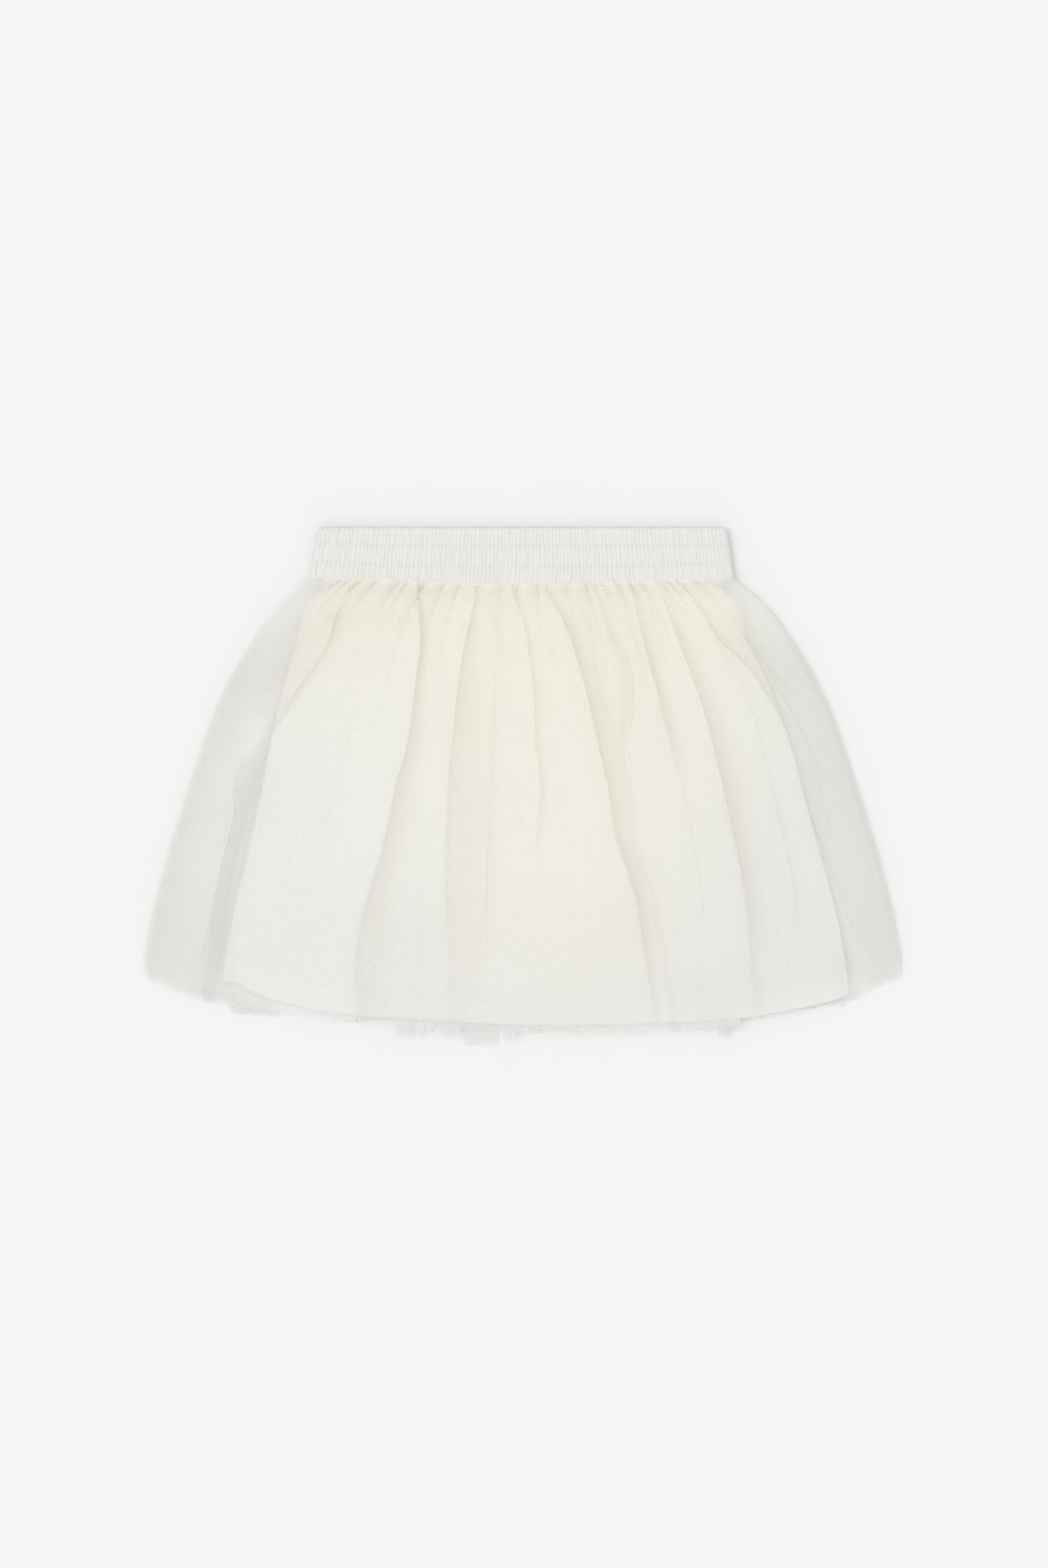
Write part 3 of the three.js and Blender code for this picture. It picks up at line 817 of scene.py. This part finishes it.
def net_panel(name, sheet, columns, rows):
    panel = grid_object(name, columns, rows)
    mesh = panel.data
    co = points_of(mesh)
    u, v = co[:, 0], (1 - co[:, 1]) / 2
    x, down, z, painted_shade = lay_panel(u, v, sheet)
    place_points(mesh, x, down, z)
    cut_map(mesh, u * CUT_WIDTH / 2, v * CUT_LENGTH)

    tight = SEAM_HALF / side_half(down)
    edge_on = 1 - np.cos(side_turn(u))
    below_lining = down - lining_hem(x)
    doubled = doubled_at(sheet, x) * ease(below_lining, 0, 2.5)
    cover = 1 - (1 - sheet["cover"]) ** (0.75 + 1.15 * (tight - 0.56) + 1.6 * edge_on)
    cover = cover + 0.3 * doubled
    if sheet["over_band"]:
        cover = cover + (0.88 - cover) * np.exp(-np.maximum(down - seam_down(x), 0) / 2.5)
    # Below the lining's hem most of the fold shade is taken off. Painted grey shade comes in there instead,
    # and more of it on the tabs.
    past_lining = ease(below_lining, -0.5, 1.5) * (1 - ease(np.abs(x), 150, 180))
    painted_hem_shade = sheet["painted_hem_shade"] * ease(below_lining, 0.5, 5) + sheet["painted_tab_shade"] * doubled
    paint(mesh, "cover", np.clip(cover, 0, 0.95))
    paint(mesh, "cream", np.clip(cream_at(x, down), 0, 1) * sheet["cream"])
    paint(mesh, "painted_shade", painted_shade * (1 - 0.7 * past_lining))
    paint(mesh, "painted_hem_shade", np.clip(painted_hem_shade, 0, 1))
    mesh.materials.append(sheet["material"])
    bpy.ops.object.shade_smooth()
    print(name, len(mesh.polygons), "faces, cloth area", round(cloth_area(mesh), 4), "m2")
    return panel


# Each net has its own amount of painted grey shade past the lining's hem and on its tabs.
BACK_NET = dict(front=False, loft=0, gather_height=0, dip=0, cover=0.36, cream=0.6, ragged=0.9, painted_hem_shade=0.3,
                painted_tab_shade=0.25, over_band=0, side_shade=0.4, folds=BACK_FOLDS, material=net_back)
FRONT_NET = dict(front=True, ragged=1.0, painted_tab_shade=0.55, material=net_front)
NET = {
    "outer_tulle_back": dict(
        BACK_NET, level=LEVEL["outer_tulle_back"], floor=0.1, hem=0.3, hem_sink=0, inset=0.5, side_fold=7,
        gathers=26, seed=11, ripple=0.0,
        tabs=[(-172.5, -142.8, 3.4, 2.3), (84, 128, 0, 3.4), (179, 186, 1.5, 2.5), (187, 191, 4, 4),
              (192, 198, 1.5, 2)]),
    "under_tulle_back": dict(
        BACK_NET, level=LEVEL["under_tulle_back"], floor=0.5, hem=-2.0, hem_sink=1.1, inset=2.0,
        side_fold=2.5, gathers=24, seed=23, ripple=0.1,
        tabs=[(-170, -144.5, 4.2, 3.0), (-35.5, -13.5, 11, 10), (178, 199, 3, 3.5)]),
    "under_tulle_front": dict(
        FRONT_NET, level=LEVEL["under_tulle_front"], loft=LOFT["under_tulle_front"], hem=-3.0, hem_sink=3.3,
        inset=2.0, side_fold=2.5, gathers=26, gather_height=1.0, seed=37, ripple=0.35, dip=0.75,
        folds=UNDER_FOLDS, over_band=0, cover=0.36, cream=0.9, side_shade=0.8, painted_hem_shade=0.3,
        tabs=[(-76, -65, 9.6, 9.2), (-62.3, -58.3, 9.6, 7), (-57, -52, 4.5, 4.5), (84, 127.8, 2.2, 6.2)]),
    "outer_tulle_front": dict(
        FRONT_NET, level=LEVEL["outer_tulle_front"], loft=LOFT["outer_tulle_front"], hem=-0.6, hem_sink=4.1,
        inset=0, side_fold=7, gathers=27, gather_height=3.3, seed=41, ripple=0.45, dip=0,
        folds=FRONT_FOLDS, over_band=1.2, cover=0.4, cream=1.0, side_shade=1, painted_hem_shade=0.25,
        tabs=[(-51, -36.5, 3, 4), (-12.5, -4, 4, 4.6), (84, 128.3, 0, 4.4), (115, 120, 4.4, 4.4)]),
}
NET_STEPS = {"outer_tulle_back": (380, 60), "under_tulle_back": (380, 60), "under_tulle_front": (520, 80),
             "outer_tulle_front": (760, 110)}

net_panels = {}
for node, sheet in NET.items():
    net_panels[node] = net_panel(node + "_net", sheet, *NET_STEPS[node])

# %% [markdown]
# ## The lining
#
# The lining is a plain A-line of smooth woven cloth, a front and a back that lie on each other. It is
# nearly flat, with a few soft dents, and its hem is turned up 14 mm and stitched. The turning lies on the
# inside, so only a small step shows where it ends. The single cloth above it carries a little painted shade,
# so the doubled cloth below it looks a little lighter, and painted shade lies under the net's folds. A
# Solidify modifier gives both panels their real thickness.

# %% Lining
TURNING = 14.0
LINING_THICKNESS = 0.3
LINING_SEAM_HALF = 113
LINING_HEM_HALF = 186
HEM_DROP = {"lining_front": 2.8, "lining_back": 1.9}


def lay_lining(u, v, front):
    """Carries the points of a flat grid to the lining. Also gives how far down its hem is at each."""
    seam = seam_down(u * LINING_SEAM_HALF)
    hem = lining_hem(u * LINING_HEM_HALF)
    down = seam + v * (hem - seam)
    x = u * lining_half(u, down)
    dome = 1 - np.abs(u) ** 3
    node = "lining_front" if front else "lining_back"
    z = np.full_like(x, LEVEL[node])
    z = z - ease(down, hem - 22, hem) * HEM_DROP[node]
    if front:
        z = z + LOFT["lining_front"] * follow(LOFT_SHARE, down) * dome
        z = z + 0.35 * wobble(x + 0.15 * down, 31, 67) * dome
        pucker = np.exp(-(((hem - down - TURNING) / 1.2) ** 2))
        z = z - 0.25 * pucker * (1 + 0.5 * wobble(x, 2.4, 71))
    return x, down, z, hem


def lining_panel(name, front):
    panel = grid_object(name, 260, 170)
    mesh = panel.data
    co = points_of(mesh)
    u, v = co[:, 0], (1 - co[:, 1]) / 2
    x, down, z, hem = lay_lining(u, v, front)
    dip, painted_shade = valleys(x, down, FRONT_FOLDS)
    turned = ease(down, hem - TURNING - 0.6, hem - TURNING + 0.4)
    if front:
        z = z - 0.35 * dip * (1 - turned) + 0.2 * turned
        # Painted shade goes under the net's folds and on the single cloth above the turning, with a thin
        # darker line 3.6 mm inside each side.
        from_side = (1 - np.abs(u)) * 160
        side_line = 0.45 * np.exp(-(((from_side - 3.6) / 1.0) ** 2))
        paint(mesh, "painted_shade", np.clip(0.75 * painted_shade + 0.15 * (1 - turned) + side_line, 0, 1))
    place_points(mesh, x, down, z)
    cut_map(mesh, x, down)
    mesh.materials.append(lining_cloth)
    bpy.ops.object.shade_smooth()
    print(name, "cloth area", round(cloth_area(mesh), 4), "m2")
    return panel


def thicken(piece, thickness):
    """Gives a thin cloth its real thickness with a Solidify modifier, and applies it."""
    bpy.ops.object.select_all(action="DESELECT")
    piece.select_set(True)
    bpy.context.view_layer.objects.active = piece
    bpy.ops.object.modifier_add(type="SOLIDIFY")
    piece.modifiers[-1].thickness = thickness * MM
    piece.modifiers[-1].offset = 0
    bpy.ops.object.modifier_apply(modifier=piece.modifiers[-1].name)


lining_panels = {"lining_front": lining_panel("lining_front_cloth", True),
                 "lining_back": lining_panel("lining_back_cloth", False)}
for panel in lining_panels.values():
    thicken(panel, LINING_THICKNESS)

# %% [markdown]
# ## The waistband
#
# One casing strip runs round the waist, folded over at the top, with three elastics in its channels. The
# elastics pull it into fine ruches. It is modelled as a grid bent into a flat ring: one way round the
# waist, the other way up the outside, over the top edge and down the inside. The ruches are narrow arches
# between sharp grooves. The grooves wander a little between the rows of stitching, which pinch them all.

# %% Waistband
STITCH_ROWS = [0.333, 0.683]
RUCHES = 222
RUCHE_HEIGHT = 0.7
PUFF = 0.35
PINCH = 0.4
BAND_HEIGHT = 35
BAND_OUT = BAND_TOP - SEAM_HEIGHT - 0.15
BAND_IN = 1.0
BAND_END = 3.1
OUTSIDE_ROWS = 52
INSIDE_ROWS = 8
ROUND_STEPS = 1560
CASING_LENGTH = 660
CASING_WIDTH = 80

ring_rng = np.random.default_rng(5)
ruche_steps = ring_rng.uniform(0.72, 1.28, RUCHES)
ruche_edges = np.concatenate([[0], np.cumsum(ruche_steps)]) / ruche_steps.sum()
RUCHE_KNOTS = np.array([0, 0.17, STITCH_ROWS[0], 0.51, STITCH_ROWS[1], 0.84, 1.0])
ruche_drift = ring_rng.normal(0, 0.14, (len(RUCHE_KNOTS), RUCHES + 1))
ruche_drift[[2, 4]] *= 0.4
ruche_drift[6] += 1.1 * wobble(np.linspace(-300, 300, RUCHES + 1), 22, 8)
ruche_drift[:, [0, -1]] = 0
ruche_depth = np.clip(ring_rng.uniform(0.4, 1.1, (len(RUCHE_KNOTS), RUCHES + 1)), 0.1, 0.9)
ruche_depth[[2, 4]] = np.clip(ruche_depth[[2, 4]], 0.7, 1)
ruche_depth[:, -1] = ruche_depth[:, 0]


def band_half(along):
    """Half the band's width at a share of the way down."""
    return BAND_HALF_TOP + (BAND_HALF_FOOT - BAND_HALF_TOP) * along


def ring_place(s, half):
    """A point of the flattened ring at a share s round it: across, and its outward direction in x and z."""
    run = 2 * (half - BAND_END)
    bend = math.pi * BAND_END
    d = s * 2 * (run + bend)
    parts = [d < run, d < run + bend, d < 2 * run + bend]
    angle = np.select(parts, [math.pi / 2, math.pi / 2 - (d - run) / BAND_END, -math.pi / 2],
                      -math.pi / 2 - (d - 2 * run - bend) / BAND_END)
    x = np.select(parts, [d - run / 2, run / 2, run / 2 - (d - run - bend)], -run / 2)
    return x, np.cos(angle), np.sin(angle)


def ruched(s, along):
    """The ruches' height, 0 in the deepest groove and 1 on an arch, for one row of points round the band."""
    share = np.interp(along, RUCHE_KNOTS, np.arange(len(RUCHE_KNOTS)))
    k = min(int(share), len(RUCHE_KNOTS) - 2)
    mix = ease(share - k, 0, 1)
    drift = (ruche_drift[k] * (1 - mix) + ruche_drift[k + 1] * mix) / RUCHES
    depth = ruche_depth[k] * (1 - mix) + ruche_depth[k + 1] * mix
    edges = ruche_edges + drift
    i = np.clip(np.searchsorted(edges, s) - 1, 0, RUCHES - 1)
    part = np.clip((s - edges[i]) / (edges[i + 1] - edges[i]), 0, 1)
    groove = depth[i] * (1 - part) + depth[i + 1] * part
    return 1 - (1 - np.sin(part * math.pi) ** 0.55) * groove


def band_row(s, along, outside):
    """One row of the casing round the waist, at a share of the way down from the top edge to the foot."""
    x, out_x, out_z = ring_place(s, band_half(along) + 0.4)
    arch = ruched(s, along)
    foot = seam_down(x + out_x * BAND_END) - 0.4
    down = along * foot - (0.55 * arch - 0.25) * math.exp(-along / 0.035)
    if not outside:
        return x + out_x * BAND_IN, down, SEAM_HEIGHT + out_z * BAND_IN, arch
    rows = np.array([0, *STITCH_ROWS, 1.0])
    channel = np.searchsorted(rows[1:-1], along)
    middle = (along - rows[channel]) / (rows[channel + 1] - rows[channel]) * 2 - 1
    pinch = sum(math.exp(-(((along - row) * BAND_HEIGHT / 0.6) ** 2)) for row in STITCH_ROWS)
    body = BAND_OUT - PUFF * middle**4 - PINCH * pinch - RUCHE_HEIGHT * (1 - arch)
    over_top = math.sqrt(max(0.0, 1 - (1 - min(along / 0.07, 1)) ** 2))
    at_foot = 1 - 0.25 * float(ease(along, 0.95, 1.0)) ** 2
    body = BAND_IN + (body - BAND_IN) * (0.1 + 0.9 * over_top) * at_foot
    z = SEAM_HEIGHT + out_z * body
    # A lower arch at the stitch rows gives them more painted shade.
    arch = arch - 0.35 * pinch * (1 - arch) ** 0.5
    return x + out_x * np.minimum(body, BAND_END), down, np.maximum(z, 0.05), arch


band = grid_object("waistband_casing", ROUND_STEPS, OUTSIDE_ROWS + INSIDE_ROWS)
mesh = band.data
co = points_of(mesh)
round_share = (co[:, 0].reshape(-1, ROUND_STEPS + 1)[0] + 1) / 2
rows = []
for row in range(OUTSIDE_ROWS + INSIDE_ROWS + 1):
    if row <= OUTSIDE_ROWS:
        rows.append(band_row(round_share, 1 - row / OUTSIDE_ROWS, True))
    else:
        rows.append(band_row(round_share, (row - OUTSIDE_ROWS) / INSIDE_ROWS, False))
x, down, z, arch = (np.concatenate(values) for values in zip(*rows))
place_points(mesh, x, down, z)
cut_map(mesh, (co[:, 0] + 1) * CASING_LENGTH / 2, (co[:, 1] + 1) * CASING_WIDTH / 2)
# Painted shade in the ruches' grooves and at the stitch rows, stronger toward the band's foot.
paint(mesh, "painted_shade", (0.45 + 0.3 * down / SEAM_MIDDLE) * (1 - arch) ** 1.3)
mesh.materials.append(casing_cloth)
bpy.ops.object.mode_set(mode="EDIT")
bpy.ops.mesh.select_all(action="SELECT")
bpy.ops.mesh.remove_doubles(threshold=0.01 * MM)
bpy.ops.mesh.normals_make_consistent(inside=False)
bpy.ops.object.mode_set(mode="OBJECT")
bpy.ops.object.shade_smooth()
print("waistband", len(mesh.polygons), "faces, cloth area", round(cloth_area(mesh), 4), "m2")

# %% [markdown]
# ## Rows of stitching
#
# Two rows of topstitching make the three channels. A stitch is a short bent thread that dives into the
# cloth at both ends. One is shaped from a small cylinder, then repeated from groove to groove.

# %% Topstitching
STITCH_LENGTH = 2.0
STITCH_RADIUS = 0.16
RING_LENGTH = 490
bpy.ops.object.select_all(action="DESELECT")
bpy.ops.mesh.primitive_cylinder_add(vertices=6, radius=STITCH_RADIUS, depth=STITCH_LENGTH,
                                    rotation=(0, math.pi / 2, 0))
stitch = bpy.context.object
bpy.ops.object.transform_apply(location=False, rotation=True, scale=False)
bpy.ops.object.mode_set(mode="EDIT")
bpy.ops.mesh.select_all(action="SELECT")
bpy.ops.mesh.bisect(plane_co=(-0.5, 0, 0), plane_no=(1, 0, 0))
bpy.ops.mesh.select_all(action="SELECT")
bpy.ops.mesh.bisect(plane_co=(0.5, 0, 0), plane_no=(1, 0, 0))
bpy.ops.object.mode_set(mode="OBJECT")
stitch_points = points_of(stitch.data)
stitch_points[:, 2] -= 0.5 * (stitch_points[:, 0] / (STITCH_LENGTH / 2)) ** 4
stitch_faces = [tuple(face.vertices) for face in stitch.data.polygons]
bpy.data.objects.remove(stitch)

corners, faces, cut = [], [], []
middles = (ruche_edges[:-1] + ruche_edges[1:]) / 2
for along in STITCH_ROWS:
    x, down, z, _ = band_row(middles, along, True)
    _, _, out_z = ring_place(middles, band_half(along) + 0.4)
    for i in range(RUCHES):
        if abs(out_z[i]) < 0.99:
            continue
        reach = min(1.0, (ruche_edges[i + 1] - ruche_edges[i]) * RING_LENGTH / STITCH_LENGTH)
        points = stitch_points * np.array([reach, 1, out_z[i]])
        place = np.array([x[i], TOP - down[i], max(z[i] + 0.12 * out_z[i], 0.3)])
        first = len(corners)
        corners.extend((points + place) * MM)
        cut.extend(points[:, :2] + place[:2])
        order = 1 if out_z[i] > 0 else -1
        faces.extend(tuple(first + corner for corner in face)[::order] for face in stitch_faces)

stitch_mesh = bpy.data.meshes.new("topstitching")
stitch_mesh.from_pydata([tuple(corner) for corner in corners], [], faces)
cut_map(stitch_mesh, *np.array(cut).T)
stitch_mesh.materials.append(sewing_thread)
topstitching = bpy.data.objects.new("topstitching", stitch_mesh)
scene.collection.objects.link(topstitching)
print("stitches:", len(corners) // len(stitch_points))

# %% [markdown]
# ## Putting each piece on the body
#
# Every piece rides on the part's one body, and the solid it stands in for is hidden.

# %% Attaching the pieces
for node, panel in net_panels.items():
    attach(panel, "root")
    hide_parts(node)
for node, panel in lining_panels.items():
    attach(panel, "root")
    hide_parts(node)
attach(band, "root")
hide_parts("waistband")
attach(topstitching, "root")
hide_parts("waistband")
